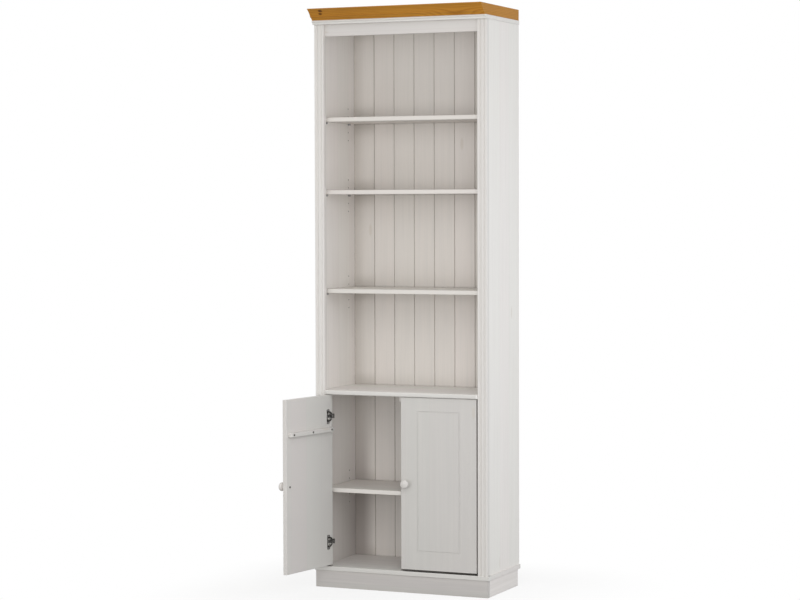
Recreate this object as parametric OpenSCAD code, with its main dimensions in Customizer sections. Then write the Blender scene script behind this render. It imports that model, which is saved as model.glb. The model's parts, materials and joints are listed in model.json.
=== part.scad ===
// Tall pine bookcase with four open bays over a two-door cupboard.
// The origin is on the floor, under the middle of the plinth front board.
// +X is to the right, +Y to the back, +Z up. All lengths are in millimetres.

/* [Overall] */
// Width across the side panels
carcass_w = 688; // [600:1:760]
// Depth from the front of the stiles to the back of the sides
carcass_d = 324; // [290:1:380]
// Height from the floor to the top of the crown
overall_h = 2150; // [2110:1:2260]

/* [Plinth] */
// Height of the plinth
plinth_h = 62.5; // [50:0.5:75]
// Thickness of the plinth boards
plinth_t = 18; // [14:1:22]
// How far the plinth stands out beyond each side panel
plinth_side_out = 1.5; // [0.5:0.5:4]
// Room left behind the plinth for a skirting board
skirting_room = 19; // [8:1:30]
// Leg of the three-cornered glue blocks
block_leg = 42; // [30:1:60]

/* [Base board] */
// Thickness of the base board
base_t = 16; // [14:0.5:20]
// Overhang of the base board at each side
base_side_out = 5; // [3:0.5:8]
// Overhang of the base board at the front
base_front_out = 3; // [1:0.5:8]
// Radius that eases the long front edges of boards
ease_r = 2; // [1:0.25:3]

/* [Sides and stiles] */
// Thickness of the side panels
side_t = 18; // [16:0.5:20]
// Width of a stile across its front
stile_w = 37.5; // [34:0.5:44]
// Thickness of a stile
stile_t = 20; // [18:0.5:24]
// Radius that eases the front edges of a stile
stile_ease_r = 1; // [0.5:0.25:2]
// Width of a flute, and of the flats beside it
flute_w = 7.5; // [5:0.25:8]
// Depth of a flute
flute_depth = 2.8; // [1.5:0.1:3.5]
// Width of the rebate in a side that takes the back boards
rebate_w = 8; // [5:0.5:9]

/* [Top board and rail] */
// Thickness of the top board
top_t = 14.5; // [13:0.5:20]
// Overhang of the top board at the front
top_front_out = 17; // [12:0.5:24]
// Overhang of the top board at each side
top_side_out = 2; // [1:0.5:4]
// Radius of the cove under the front edge of the top board
top_cove_r = 7; // [4:0.5:9]
// Height of the rail under the top board
rail_h = 43.5; // [35:0.5:60]
// Thickness of the rail
rail_t = 18; // [15:0.5:22]
// Distance of the rail behind the front of the stiles
rail_set = 13; // [8:0.5:16]

/* [Crown] */
// Height of the crown
crown_h = 40.5; // [36:0.5:60]
// Thickness of the crown boards
crown_t = 18; // [15:0.5:24]
// Distance of the crown boards in front of the stiles
crown_seat_out = 16; // [10:0.5:16.5]
// Foot of the moulding, in front of the stiles
crown_foot_out = 18.5; // [17.5:0.5:22]
// Top of the moulding, in front of the stiles
crown_top_out = 60; // [50:0.5:75]
// Height of the upright fillet at the top of the moulding
crown_fillet = 3; // [2:0.25:5]
// Radius of the bead that runs along the moulding
crown_bead_r = 2.6; // [1.5:0.1:3.5]
// Hollow of the moulding's upper cove
upper_cove_sag = 2.4; // [1:0.1:3.5]
// Hollow of the moulding's lower cove
lower_cove_sag = 1.2; // [0.5:0.1:1.8]

/* [Shelves] */
// Thickness of the shelves
shelf_t = 16; // [14:0.5:18]
// Distance of the adjustable shelves behind the front of the stiles
shelf_set = 32; // [26:1:50]
// Gap between an adjustable shelf and each side
shelf_play = 1; // [0.5:0.25:2]
// Gap between an adjustable shelf and the back boards
shelf_back_gap = 2; // [1:0.5:6]
// Height of the fixed shelf's underside
fixed_shelf_z = 722.5; // [700:0.5:800]
// Where the upper shelf stands in the open part's height
upper_shelf_share = 0.7357; // [0.66:0.0001:0.82]
// Where the middle shelf stands in the open part's height
middle_shelf_share = 0.5367; // [0.45:0.0001:0.61]
// Where the lower shelf stands in the open part's height
lower_shelf_share = 0.2654; // [0.19:0.0001:0.36]
// Where the cupboard shelf stands in the cupboard's height
cupboard_shelf_share = 0.427; // [0.34:0.001:0.53]
// How far the nosing of the fixed shelf stands in front of the stiles
nosing_out = 6; // [3:0.5:10]

/* [Shelf pins] */
// Radius of a pin's shank and hole
pin_shank_r = 2.5; // [2:0.1:3]
// Depth of a shank in the side panel
pin_depth = 9; // [7:0.5:11]
// Radius of the pin's head, which the shelf rests on
pin_head_r = 3.75; // [3.25:0.25:5]
// Length of the pin's head
pin_head_len = 9; // [6:0.5:12]
// Distance of the front row of holes behind the stiles' front
front_row_set = 57; // [50:1:80]
// Distance of the rear row of holes behind the stiles' front
rear_row_set = 258; // [200:1:265]
// Spacing of the holes in a row
hole_pitch = 30; // [25:1:34]
// Number of spare holes over and under each pin
spare_holes = 2; // [1:1:3]

/* [Back boards] */
// Distance of the back boards in front of the rear edges of the sides
back_inset = 3; // [2:1:44]
// Thickness of the back boards
back_t = 10; // [9:0.5:12]
// Width of the first board beside that of a whole board
first_board_share = 1.113; // [1.05:0.001:1.2]
// Width of the last board beside that of a whole board
last_board_share = 0.945; // [0.85:0.001:1.1]
// Length of the tongue
tongue_len = 6; // [4:0.5:8]
// Thickness of the tongue
tongue_t = 3.2; // [2.5:0.1:4]
// Depth of the bevels that form the vee between boards
vee_depth = 2.2; // [1:0.1:2.5]
// Gap between a tongue and its groove, and between boards
board_gap = 0.3; // [0.15:0.05:0.6]

/* [Doors] */
// Thickness of a door
door_t = 16; // [15:0.5:18]
// Radius that eases the edges of a door
door_ease_r = 1.5; // [0.5:0.25:2.5]
// Distance of the doors behind the stiles' front
door_set = 2; // [1:0.5:3]
// Gap between a door and its stile
hinge_gap = 6; // [5:0.5:8]
// Gap between the two doors
meeting_gap = 3; // [2:0.5:5]
// Gap under the doors
door_foot_gap = 5; // [3:0.5:8]
// Gap over the doors
door_head_gap = 1.5; // [1:0.5:8]
// Angle at which the left door stands open
left_open = 98.7; // [60:0.1:98.7]
// Distance of the routed line from the sides of the door
line_side = 65; // [50:1:80]
// Distance of the routed line from the top of the door
line_head = 50; // [35:1:80]
// Distance of the routed line from the foot of the door
line_foot = 70; // [50:1:90]
// Width of the routed line
line_w = 4; // [2:0.5:6]
// Depth of the routed line
line_depth = 0.8; // [0.5:0.1:2.5]
// Gap between the upper hinge's flange and the batten
batten_gap = 13; // [2:0.5:64]
// Height of the batten
batten_h = 15; // [14:1:26]
// Thickness of the batten
batten_t = 16; // [10:0.5:18]
// Distance of the batten from the free edge of the door
batten_free = 13.5; // [8:0.5:60]
// Distance of the batten from the hinge edge of the door
batten_hinge = 12.5; // [10:0.5:30]
// Radius that rounds the ends of the batten
batten_end_r = 3; // [1:0.5:8]
// Distance of the outer screws from the ends of the batten
batten_screw_set = 15; // [12.5:0.5:40]

/* [Door stop] */
// Width of the stop block
stop_w = 22; // [16:1:40]
// Height of the stop block
stop_h = 19; // [12:1:30]
// Thickness of the stop block
stop_t = 14; // [10:1:24]

/* [Knobs] */
// Height of the knobs over the foot of the doors
knob_rise = 319; // [280:0.5:360]
// Distance of a knob from the free edge of its door
knob_edge = 21.5; // [18:0.5:45]
// Radius of a knob
knob_r = 16; // [14:0.5:20]
// Radius of the knob's round rim
knob_rim_r = 7.5; // [5:0.5:9]
// Radius of the knob's foot
knob_foot_r = 9; // [7:0.5:10]
// Radius of the knob's neck
knob_neck_r = 6.5; // [5.5:0.25:7]
// How far a knob stands out from the door
knob_out = 29; // [25:0.5:34]
// Height of the knob's round crown
knob_dome = 1.6; // [1:0.1:3]

/* [Hinges] */
// Distance of the upper hinges under the top of the door
upper_hinge_drop = 80.5; // [55:0.5:100]
// Distance of the lower hinges over the foot of the door
lower_hinge_rise = 87.5; // [50:0.5:110]
// Distance of the pivot from the hinge edge of the door
pivot_edge = 8; // [7.5:0.25:8.5]
// Distance of the cup's middle from the hinge edge of the door
cup_edge = 20.5; // [20:0.25:21]
// Radius of the cup
cup_r = 17.5; // [17:0.1:17.5]
// Gap between the arm's knuckle and the floor of the cup
cup_floor_gap = 0.4; // [0.2:0.05:1]
// Thickness of the cup's pressed steel
cup_wall = 1.2; // [0.8:0.1:1.2]
// Width of the cup's flange
flange_w = 17; // [14:0.5:20]
// Height of the cup's flange
flange_h = 54; // [50:1:60]
// Distance of the flange's middle line beyond the cup's middle
flange_shift = 9.5; // [4:0.5:10]
// Spacing of the two screws in the flange
cup_screw_span = 45; // [42:1:46]
// Radius of the pivot pin
pivot_r = 1.25; // [1:0.05:1.3]
// Height of the pivot pin
pivot_h = 18; // [16:0.5:18]
// Radius of the arm's knuckle
knuckle_r = 2.4; // [2.2:0.05:2.5]
// Thickness of the arm's strap
strap_t = 2.2; // [1.8:0.1:2.4]
// Height of the arm's strap where it swings in the cup
strap_h = 10; // [6:0.5:12.5]
// How far the strap reaches from the pivot towards the free edge
strap_reach = 13; // [12:0.25:14]
// Distance of the strap's cross leg behind the pivot
strap_back = 14; // [14:0.25:16]
// Distance of the strap's first leg in front of the pivot
strap_dip = 1; // [0.8:0.1:1.1]
// Length of the arm along the side panel
arm_len = 46; // [40:1:60]
// Height of the arm's channel and of its cross leg
arm_h = 17; // [15:0.5:20]
// Height of the window in the cross leg
window_h = 7; // [4:0.5:9]
// Length of metal left at each end of the window
window_end = 4; // [3:0.5:6]
// How far the arm's channel stands off its plate
arm_rise = 7; // [5:0.5:9]
// Thickness of the mounting plate
plate_t = 2.5; // [2:0.25:3.5]
// Height of the mounting plate
plate_h = 50; // [44:1:60]
// Length of the mounting plate
plate_len = 26; // [22:1:32]
// Spacing of the two screws in a mounting plate
plate_screw_span = 32; // [28:1:36]

/* [Fasteners] */
// Radius of the dowels
dowel_r = 4; // [3:0.25:4.5]
// Length of the dowels
dowel_len = 30; // [26:1:34]
// Depth of the dowels in the base board, the top board and the sides
dowel_seat = 10; // [8:0.5:11]
// Radius of a wood screw
screw_r = 1.75; // [1.5:0.05:2]
// Radius of a screw head
screw_head_r = 3.5; // [3:0.1:4]
// Height of a screw head
screw_head_h = 1.8; // [1.2:0.1:2.2]
// Length of a wood screw under its head
screw_len = 13; // [11:0.5:14]
// Radius of a nail
nail_r = 1; // [0.8:0.05:1.2]
// Radius of a nail head
nail_head_r = 2.6; // [2:0.1:3]
// Thickness of a nail head
nail_head_h = 1; // [0.6:0.1:1.5]
// Length of a nail under its head
nail_len = 28; // [24:1:34]

/* [Hidden] */
$fn = 64;
// Overrun of cuts, so that no cut ends flush with a face
over = 1;
// Gap round dowels, screws and nails in their holes
fit_gap = 0.05;
// Gap of a pressed pin or cup in its seat
press_gap = 0.02;
// Gap round the pivot pin in the arm's knuckle
running_gap = 0.05;
// Gap between the knuckle and each ear of the cup
ear_gap = 0.5;
// Gap between the shut doors and the stop block
stop_gap = 0.5;
// Room at the blind end of a dowel hole
hole_end = 1;
// Distance of the outer dowels behind the stiles' front and in front of the back boards
dowel_front = 60;
dowel_back_in = 26;
// Radius at the corners of plates and flanges
plate_corner_r = 3;
// Width and depth of a screw's driving slot
slot_w = 0.9;
slot_depth = 0.7;
// Height of the lip over the cove of the top board, as a share of its thickness
top_lip_share = 0.42;
// Where the bead lies, as a share of the moulding's height
bead_share = 0.34;
// Widest place of the knob over the door, as a share of its height
knob_belly_share = 0.66;

half_w = carcass_w / 2;
front_y = -plinth_t / 2;
back_y = front_y + carcass_d;
back_set = carcass_d - back_inset - back_t;
base_top = plinth_h + base_t;
top_z = overall_h - crown_h;
side_top = top_z - top_t;
side_h = side_top - base_top;
inner_half = half_w - side_t;
opening_half = half_w - stile_w;
rail_z = side_top - rail_h;
back_face_y = front_y + back_set;
back_half = inner_half + rebate_w - board_gap;
back_h = top_z - plinth_h;
board_count = 8;
pitch_count = board_count - 2 + first_board_share + last_board_share;
board_pitch = 2 * back_half / pitch_count;
plinth_half = half_w + plinth_side_out;
plinth_back_y = back_y - skirting_room;
shelf_y = front_y + shelf_set;
shelf_d = back_set - shelf_set - shelf_back_gap;
shelf_half = inner_half - shelf_play;
fixed_top = fixed_shelf_z + shelf_t;
open_h = side_top - fixed_top;
upper_shelf_z = fixed_top + open_h * upper_shelf_share;
middle_shelf_z = fixed_top + open_h * middle_shelf_share;
lower_shelf_z = fixed_top + open_h * lower_shelf_share;
cupboard_shelf_z = base_top + (fixed_shelf_z - base_top) * cupboard_shelf_share;
shelf_levels = [upper_shelf_z, middle_shelf_z, lower_shelf_z, cupboard_shelf_z];
row_sets = [front_row_set, rear_row_set];
door_z = base_top + door_foot_gap;
door_h = fixed_shelf_z - door_head_gap - door_z;
door_top = door_z + door_h;
knob_z = door_z + knob_rise;
upper_hinge_z = door_top - upper_hinge_drop;
lower_hinge_z = door_z + lower_hinge_rise;
batten_z = upper_hinge_z - flange_h / 2 - batten_gap - batten_h / 2;
door_w = opening_half - hinge_gap - meeting_gap / 2;
pivot_x = opening_half - hinge_gap - pivot_edge;
pivot_y = front_y + door_set + door_t / 2;
inner_v = door_t / 2;
free_u = door_w - pivot_edge;
cup_u = cup_edge - pivot_edge;
cup_depth = inner_v + knuckle_r + cup_floor_gap + cup_wall;
cup_shell_r = cup_r - press_gap;
flange_t = cup_wall;
wall_u = pivot_x - inner_half;
arm_u = wall_u + plate_t + strap_t / 2;
arm_end_v = strap_back + arm_len;
hinge_levels = [upper_hinge_z, lower_hinge_z];
batten_u = batten_hinge - pivot_edge;
batten_len = door_w - batten_hinge - batten_free;
batten_screws = [batten_screw_set, batten_len / 2, batten_len - batten_screw_set];
batten_screw_len = batten_t + door_t / 2;
knob_screw_len = door_t + knob_out / 2;
dowel_rear = back_set - dowel_back_in;
dowel_sets = [dowel_front, (dowel_front + dowel_rear) / 2, dowel_rear];
nail_levels = [plinth_h + base_t / 2, fixed_shelf_z + shelf_t / 2, side_top + top_t / 2];

paint = "#d9d8d3";
inside_paint = "#c3bcb4";
pine = "#b27a3c";
steel = "#b8bcc0";
dark_steel = "#3a3835";
beech = "#c9a878";

// A box from one corner to the opposite one
module block(low, high) {
    translate(low) cube(high - low);
}

// A 2D outline drawn as depth by height, made into a board that runs across the bookcase
module across(half) {
    translate([-half, 0, 0]) rotate([90, 0, 90]) linear_extrude(2 * half) children();
}

// A rectangle whose two front corners are eased
module eased_profile(depth, height, r) {
    translate([r, 0]) square([depth - r, height]);
    translate([0, r]) square([r, height - 2 * r]);
    translate([r, r]) circle(r);
    translate([r, height - r]) circle(r);
}

// A rectangle with four round corners, centred
module round_plate(w, h, r) {
    square([w - 2 * r, h], center = true);
    square([w, h - 2 * r], center = true);
    for (sx = [-1, 1], sy = [-1, 1])
        translate([sx * (w / 2 - r), sy * (h / 2 - r)]) circle(r);
}

// A round hole or peg that runs backwards from a point
module backwards(r, len) {
    rotate([-90, 0, 0]) cylinder(r = r, h = len);
}

// Holes for the upright dowels between a side and the board at one end of it
module upright_dowels(r, low, len) {
    for (sx = [-1, 1], set = dowel_sets)
        translate([sx * (half_w - side_t / 2), front_y + set, low]) cylinder(r = r, h = len);
}

// The level dowels between the fixed shelf and the sides
module level_dowels(r, reach_in, reach_out) {
    for (sx = [-1, 1], set = dowel_sets)
        translate([sx * inner_half, front_y + set, fixed_shelf_z + shelf_t / 2])
            rotate([0, 90, 0]) translate([0, 0, sx > 0 ? -reach_in : -reach_out])
                cylinder(r = r, h = reach_in + reach_out);
}

// Middle of a back board
function board_mid(i) = -back_half + board_pitch * (i == 1 ? first_board_share / 2
    : i == board_count ? pitch_count - last_board_share / 2 : first_board_share + i - 1.5);

// The nails of the back boards, at one level
module nail_row(z, r, len) {
    for (i = [1:board_count])
        translate([board_mid(i), back_face_y + back_t - len, z]) backwards(r, len + over);
}

// Plinth

module plinth_front() {
    color(paint) block([-plinth_half, front_y, 0], [plinth_half, front_y + plinth_t, plinth_h]);
}

module plinth_side(side) {
    color(paint) translate([side * (plinth_half - plinth_t / 2) - plinth_t / 2, front_y + plinth_t, 0])
        cube([plinth_t, plinth_back_y - front_y - plinth_t, plinth_h]);
}

module plinth_back() {
    half = plinth_half - plinth_t;
    color(paint) block([-half, plinth_back_y - plinth_t, 0], [half, plinth_back_y, plinth_h]);
}

// One glue block, with its square corner at the origin
module glue_block() {
    linear_extrude(plinth_h) polygon([[0, 0], [block_leg, 0], [0, block_leg]]);
}

module plinth_blocks() {
    half = plinth_half - plinth_t;
    color(beech) for (sx = [0, 1]) mirror([sx, 0, 0]) {
        translate([-half, front_y + plinth_t, 0]) glue_block();
        translate([-half, plinth_back_y - plinth_t, 0]) mirror([0, 1, 0]) glue_block();
    }
}

module base_board() {
    half = half_w + base_side_out;
    depth = carcass_d + base_front_out;
    color(paint) difference() {
        translate([0, front_y - base_front_out, plinth_h])
            across(half) eased_profile(depth, base_t, ease_r);
        block([-inner_half - rebate_w, back_face_y, plinth_h - over],
            [inner_half + rebate_w, back_y + over, base_top + over]);
        upright_dowels(dowel_r + fit_gap, base_top - dowel_seat - hole_end, dowel_len);
        nail_row(nail_levels[0], nail_r + fit_gap, nail_len + hole_end);
    }
}

// Sides and stiles

// Holes for the shelf pins and the spares beside them, on one side
module pin_holes(side) {
    for (level = shelf_levels, set = row_sets, i = [-spare_holes:spare_holes])
        translate([side * (inner_half + pin_depth + hole_end), front_y + set,
                level - pin_head_r + i * hole_pitch])
            rotate([0, -side * 90, 0]) cylinder(r = pin_shank_r + fit_gap, h = pin_depth + hole_end + over);
}

// Holes for the screws of the mounting plates, on one side
module plate_holes(side) {
    for (z = hinge_levels, sz = [-1, 1])
        translate([side * (inner_half + screw_len - plate_t + hole_end), pivot_y + arm_end_v - plate_len / 2,
                z + sz * plate_screw_span / 2])
            rotate([0, -side * 90, 0]) cylinder(r = screw_r + fit_gap, h = screw_len);
}

module side_panel(side) {
    low = front_y + stile_t;
    color(paint) difference() {
        translate([side * (half_w - side_t / 2) - side_t / 2, low, base_top])
            cube([side_t, back_y - low, side_h]);
        block([-inner_half - rebate_w, back_face_y, base_top - over],
            [inner_half + rebate_w, back_y + over, side_top + over]);
        pin_holes(side);
        plate_holes(side);
        upright_dowels(dowel_r + fit_gap, base_top - over, dowel_len - dowel_seat + hole_end + over);
        upright_dowels(dowel_r + fit_gap, side_top - dowel_len + dowel_seat - hole_end,
            dowel_len - dowel_seat + hole_end + over);
        level_dowels(dowel_r + fit_gap, over, dowel_seat + hole_end);
    }
}

// A stile's front is divided into five bands: flat, flute, flat, flute, flat
module stile(side) {
    groove_r = (pow(flute_w / 2, 2) + pow(flute_depth, 2)) / (2 * flute_depth);
    color(paint) translate([side * (half_w - stile_w / 2), front_y, base_top]) linear_extrude(side_h)
        difference() {
            translate([stile_w / 2, 0]) rotate(90) eased_profile(stile_t, stile_w, stile_ease_r);
            for (sx = [-1, 1])
                translate([sx * flute_w, flute_depth - groove_r]) circle(groove_r);
        }
}

// Top

module top_board() {
    lip = top_t * top_lip_share;
    depth = carcass_d + top_front_out;
    color(paint) difference() {
        translate([0, front_y - top_front_out, side_top]) across(half_w + top_side_out) difference() {
            eased_profile(depth, top_t, ease_r / 2);
            translate([0, top_t - lip - top_cove_r]) circle(top_cove_r);
            translate([-over, -over]) square([top_cove_r + over, top_t - lip - top_cove_r + over]);
        }
        block([-inner_half - rebate_w, back_face_y, side_top - over],
            [inner_half + rebate_w, back_y + over, top_z + over]);
        upright_dowels(dowel_r + fit_gap, side_top - over, dowel_seat + hole_end + over);
        nail_row(nail_levels[2], nail_r + fit_gap, nail_len + hole_end);
    }
}

// The rail laps behind the stiles and fits between the sides
module top_rail() {
    color(paint) {
        block([-opening_half, front_y + rail_set, rail_z],
            [opening_half, front_y + stile_t + over, side_top]);
        block([-inner_half, front_y + stile_t, rail_z],
            [inner_half, front_y + rail_set + rail_t, side_top]);
    }
}

// Crown

// A circle through two points that hollows the straight line between them
module cove_cut(p, q, sag) {
    half_chord = norm(q - p) / 2;
    r = (pow(half_chord, 2) + pow(sag, 2)) / (2 * sag);
    along = (q - p) / norm(q - p);
    translate((p + q) / 2 + [-along[1], along[0]] * (r - sag)) circle(r);
}

module crown_moulding() {
    foot = [-crown_foot_out, 0];
    brow = [-crown_top_out, crown_h - crown_fillet];
    bead = foot + (brow - foot) * bead_share;
    bead_step = (brow - foot) / norm(brow - foot) * crown_bead_r;
    color(pine) translate([0, front_y, top_z]) across(half_w) {
        difference() {
            polygon([[-crown_seat_out, 0], [-crown_seat_out, crown_h],
                [-crown_top_out, crown_h], brow, foot]);
            cove_cut(bead + bead_step, brow, upper_cove_sag);
            cove_cut(foot, bead - bead_step, lower_cove_sag);
        }
        translate(bead) circle(crown_bead_r);
    }
}

module crown_front() {
    low = front_y - crown_seat_out;
    half = half_w - crown_t;
    color(pine) block([-half, low, top_z], [half, low + crown_t, overall_h]);
}

module crown_side(side) {
    low = front_y - crown_seat_out;
    color(pine) translate([side * (half_w - crown_t / 2) - crown_t / 2, low, top_z])
        cube([crown_t, back_y - low, crown_h]);
}

module crown_back() {
    half = half_w - crown_t;
    color(pine) block([-half, back_y - crown_t, top_z], [half, back_y, overall_h]);
}

// Shelves

module fixed_shelf() {
    nose_d = nosing_out + stile_t + over;
    color(paint) difference() {
        union() {
            intersection() {
                translate([0, front_y - nosing_out, fixed_shelf_z])
                    across(opening_half) eased_profile(nose_d, shelf_t, shelf_t / 4);
                translate([0, 0, fixed_shelf_z]) linear_extrude(shelf_t) union() {
                    translate([-opening_half + nosing_out, front_y - nosing_out])
                        square([2 * (opening_half - nosing_out), nose_d]);
                    translate([-opening_half, front_y]) square([2 * opening_half, nose_d]);
                    for (sx = [-1, 1])
                        translate([sx * (opening_half - nosing_out), front_y]) circle(nosing_out);
                }
            }
            block([-inner_half, front_y + stile_t, fixed_shelf_z],
                [inner_half, back_face_y, fixed_top]);
        }
        level_dowels(dowel_r + fit_gap, dowel_len - dowel_seat + hole_end, over);
        nail_row(nail_levels[1], nail_r + fit_gap, nail_len + hole_end);
    }
}

module loose_shelf(z) {
    color(inside_paint) translate([0, shelf_y, z]) across(shelf_half) eased_profile(shelf_d, shelf_t, ease_r);
}

// The four pins that carry one shelf, each with a round-nosed head
module shelf_pins(z) {
    color(steel) for (sx = [-1, 1], set = row_sets)
        translate([sx * (inner_half + pin_depth), front_y + set, z - pin_head_r])
            rotate([0, -sx * 90, 0]) rotate_extrude() {
                square([pin_shank_r, pin_depth]);
                translate([0, pin_depth]) square([pin_head_r, pin_head_len - pin_head_r / 2]);
                translate([0, pin_depth]) square([pin_head_r / 2, pin_head_len]);
                translate([pin_head_r / 2, pin_depth + pin_head_len - pin_head_r / 2]) intersection() {
                    circle(pin_head_r / 2);
                    square(pin_head_r / 2);
                }
            }
}

// Back boards

// The groove is in a board's left edge and the tongue on its right edge
module back_board(i) {
    left = -back_half + board_pitch * (i == 1 ? 0 : first_board_share + i - 2);
    right = i == board_count ? back_half : -back_half + board_pitch * (first_board_share + i - 1);
    low = i == 1 ? left : left + board_gap / 2;
    high = i == board_count ? right : right - board_gap / 2;
    tongue_low = (back_t - tongue_t) / 2;
    color(inside_paint) difference() {
        translate([0, back_face_y, plinth_h]) linear_extrude(back_h) difference() {
            union() {
                translate([low, 0]) square([high - low, back_t]);
                if (i < board_count)
                    translate([high - over, tongue_low]) square([tongue_len + over, tongue_t]);
            }
            if (i > 1)
                translate([low - over, tongue_low - board_gap / 2])
                    square([tongue_len + board_gap + over, tongue_t + board_gap]);
            if (i > 1)
                polygon([[low, vee_depth], [low - over, vee_depth], [low - over, -over],
                    [low + vee_depth + over, -over], [low + vee_depth, 0]]);
            if (i < board_count)
                polygon([[high, vee_depth], [high + over, vee_depth], [high + over, -over],
                    [high - vee_depth - over, -over], [high - vee_depth, 0]]);
        }
        for (z = nail_levels)
            translate([board_mid(i), back_face_y - over, z]) backwards(nail_r + fit_gap, back_t + 2 * over);
    }
}

module back_nails() {
    color(steel) for (z = nail_levels, i = [1:board_count])
        translate([board_mid(i), back_face_y + back_t - nail_len, z]) {
            backwards(nail_r, nail_len);
            translate([0, nail_len, 0]) backwards(nail_head_r, nail_head_h);
        }
}

module carcass_dowels() {
    color(beech) {
        upright_dowels(dowel_r, base_top - dowel_seat, dowel_len);
        upright_dowels(dowel_r, side_top + dowel_seat - dowel_len, dowel_len);
        level_dowels(dowel_r, dowel_len - dowel_seat, dowel_seat);
    }
}

module door_stop() {
    low = front_y + door_set + door_t + stop_gap;
    color(paint) block([-stop_w / 2, low, fixed_shelf_z - stop_h], [stop_w / 2, low + stop_t, fixed_shelf_z]);
}

// Hinges: drawn about the pivot, with the door's free edge towards +X and its inner face towards +Y

// A straight run of strap with round ends, at a given height
module strap_run(p, q, h) {
    d = q - p;
    translate([0, 0, -h / 2]) linear_extrude(h) {
        translate(p) rotate(atan2(d[1], d[0])) translate([0, -strap_t / 2]) square([norm(d), strap_t]);
        translate(p) circle(strap_t / 2);
        translate(q) circle(strap_t / 2);
    }
}

module hinge_arm() {
    corner = [strap_reach, strap_back];
    heel = [arm_u, strap_back];
    difference() {
        union() {
            translate([0, 0, -strap_h / 2]) cylinder(r = knuckle_r, h = strap_h);
            strap_run([0, -strap_dip], [strap_reach, -strap_dip], strap_h);
            strap_run([strap_reach, -strap_dip], corner, strap_h);
            strap_run(corner, heel, arm_h);
            strap_run(heel, [arm_u, arm_end_v], strap_h);
            arm_channel();
        }
        translate([0, 0, -strap_h]) cylinder(r = pivot_r + running_gap, h = 2 * strap_h);
        block([wall_u + plate_t + arm_rise + window_end, strap_back - strap_t, -window_h / 2],
            [strap_reach - strap_t / 2 - window_end, strap_back + strap_t, window_h / 2]);
    }
}

// The channel that lies on the mounting plate
module arm_channel() {
    low = wall_u + plate_t;
    difference() {
        block([low, strap_back, -arm_h / 2], [low + arm_rise, arm_end_v, arm_h / 2]);
        block([low - over, strap_back - over, -arm_h / 2 + strap_t],
            [low + arm_rise - strap_t, arm_end_v - strap_t, arm_h / 2 - strap_t]);
    }
}

module hinge_plate() {
    mid = arm_end_v - plate_len / 2;
    translate([wall_u, mid, 0]) rotate([0, 90, 0]) difference() {
        linear_extrude(plate_t) round_plate(plate_h, plate_len, plate_corner_r);
        for (sz = [-1, 1])
            translate([sz * plate_screw_span / 2, 0, -over])
                cylinder(r = screw_r + fit_gap, h = plate_t + 2 * over);
    }
}

// A pan head screw that points along +Z, with its head under the floor of its own frame
module screw(len) {
    cylinder(r = screw_r, h = len);
    difference() {
        translate([0, 0, -screw_head_h]) cylinder(r = screw_head_r, h = screw_head_h);
        translate([-screw_head_r, -slot_w / 2, -screw_head_h - over])
            cube([2 * screw_head_r, slot_w, slot_depth + over]);
    }
}

module plate_screws() {
    for (sz = [-1, 1])
        translate([wall_u + plate_t, arm_end_v - plate_len / 2, sz * plate_screw_span / 2])
            rotate([0, -90, 0]) screw(screw_len);
}

// The pressed cup with its flange, the floor and the two ears that hold the pin
module hinge_cup() {
    ear_low = strap_h / 2 + ear_gap;
    floor_v = inner_v - cup_depth + press_gap;
    difference() {
        union() {
            translate([cup_u, floor_v, 0]) difference() {
                backwards(cup_shell_r, cup_depth - press_gap);
                translate([0, cup_wall, 0]) backwards(cup_shell_r - cup_wall, cup_depth);
            }
            intersection() {
                translate([cup_u, floor_v, 0]) backwards(cup_shell_r, cup_depth - press_gap);
                for (sz = [0, 1]) mirror([0, 0, sz])
                    block([-knuckle_r - cup_wall, floor_v, ear_low],
                        [knuckle_r + cup_wall, knuckle_r, pivot_h / 2 + cup_wall]);
            }
            translate([cup_u, inner_v, 0]) rotate([-90, 0, 0]) linear_extrude(flange_t) difference() {
                union() {
                    circle(cup_r + cup_wall);
                    translate([flange_shift, 0]) round_plate(flange_w, flange_h, plate_corner_r);
                }
                circle(cup_shell_r - cup_wall);
                for (sz = [-1, 1])
                    translate([flange_shift, sz * cup_screw_span / 2]) circle(screw_r + fit_gap);
            }
        }
        translate([0, 0, -pivot_h / 2]) cylinder(r = pivot_r + press_gap, h = pivot_h);
    }
}

module pivot_pin() {
    translate([0, 0, -pivot_h / 2 + press_gap]) cylinder(r = pivot_r, h = pivot_h - 2 * press_gap);
}

module cup_screws() {
    for (sz = [-1, 1])
        translate([cup_u + flange_shift, inner_v + flange_t, sz * cup_screw_span / 2])
            rotate([90, 0, 0]) screw(screw_len);
}

// Doors, drawn about the pivot in the same way

// The thin rectangle routed into the front face
module routed_line() {
    low = [line_side - pivot_edge, door_z + line_foot];
    high = [free_u - line_side, door_z + door_h - line_head];
    translate([0, -inner_v + line_depth, 0]) rotate([90, 0, 0]) linear_extrude(line_depth + over)
        difference() {
            translate(low) square(high - low);
            translate(low + [line_w, line_w]) square(high - low - 2 * [line_w, line_w]);
        }
}

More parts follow.
